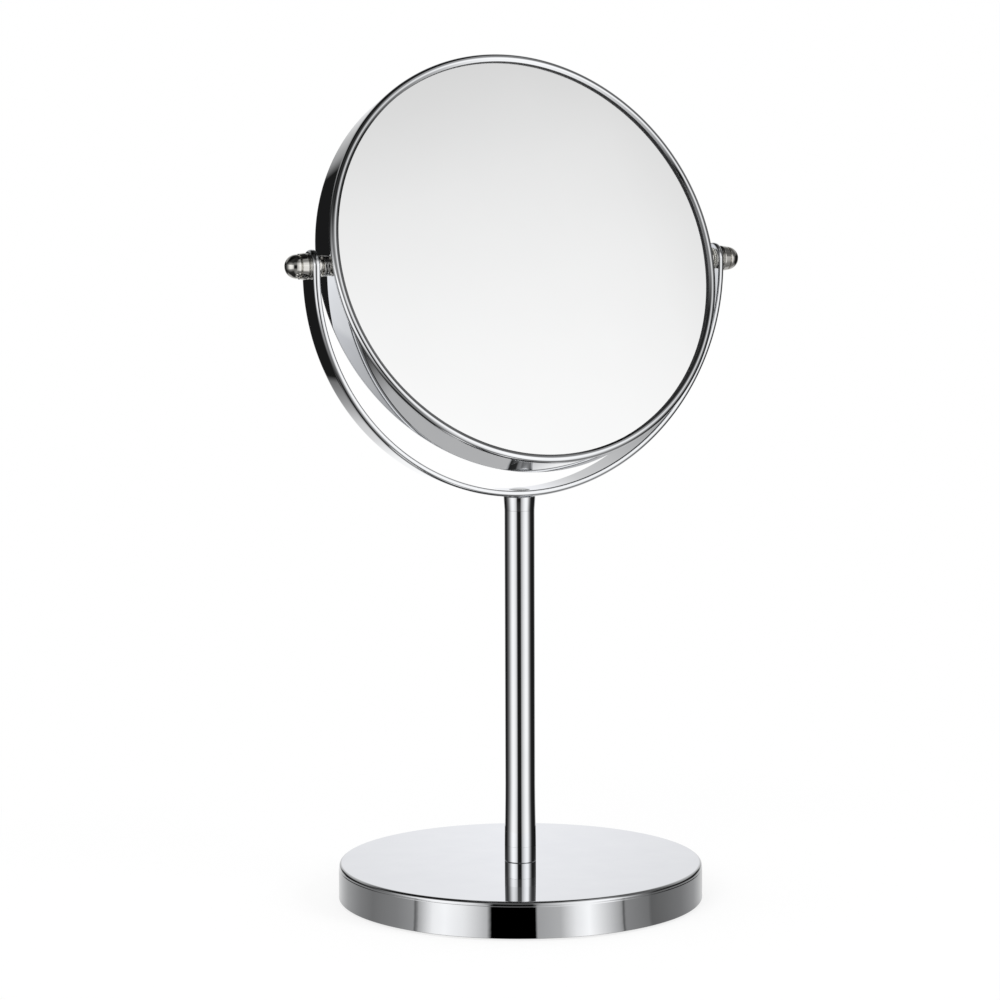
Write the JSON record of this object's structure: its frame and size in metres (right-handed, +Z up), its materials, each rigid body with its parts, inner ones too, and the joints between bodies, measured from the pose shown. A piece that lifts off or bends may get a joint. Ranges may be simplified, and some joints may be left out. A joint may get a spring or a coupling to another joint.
{
  "type": "countertop mirror",
  "caption": "Double-sided round mirror in a chrome hoop that turns right over on two pivots in a U-shaped yoke, on a tube stem with a weighted round base.",
  "frame": {"origin": "centre of the base's underside, on the surface it stands on", "axes": "+Z up along the stem, -Y towards the front where the flat mirror faces, X along the pivot axis"},
  "size_m": [0.2388, 0.1754, 0.4039],
  "materials": {
    "chrome": "mirror-polished chrome plate on steel",
    "nickel": "polished nickel plate, a little warmer and softer than the chrome",
    "mirror_glass": "silvered float glass with ground edges",
    "zinc_steel": "bright zinc-plated steel",
    "iron": "rough cast",
    "nylon": "natural nylon",
    "foam": "closed-cell black foam",
    "fibreboard": "pressed grey fibreboard",
    "plastic": "fine-grained moulded black plastic"
  },
  "bodies": {
    "stand": {"base_shell": "chrome", "base_ballast": "iron", "base_cover": "plastic", "base_pad": "foam", "base_bolt": "zinc_steel", "base_washer": "zinc_steel", "base_lock_washer": "zinc_steel", "lower_ferrule": "chrome", "stem_tube": "chrome", "upper_ferrule": "chrome", "yoke": "chrome", "yoke_screw": "chrome", "friction_washer_left": "nylon", "friction_washer_right": "nylon"},
    "head": {"rim_band": "chrome", "front_bezel": "chrome", "rear_bezel": "chrome", "front_seal": "plastic", "rear_seal": "plastic", "front_mirror": "mirror_glass", "rear_mirror": "mirror_glass", "backing_board": "fibreboard", "front_cushion": "foam", "rear_cushion": "foam", "pivot_stud_left": "zinc_steel", "pivot_stud_right": "zinc_steel", "pivot_spacer_left": "nickel", "pivot_spacer_right": "nickel", "cup_washer_left": "nickel", "cup_washer_right": "nickel", "cap_nut_left": "nickel", "cap_nut_right": "nickel"}
  },
  "joints": [
    {"name": "head_tilt", "type": "hinge", "parent": "stand", "child": "head", "pos_m": [0, 0, 0.3057], "axis": [1, 0, 0], "continuous": true}
  ]
}
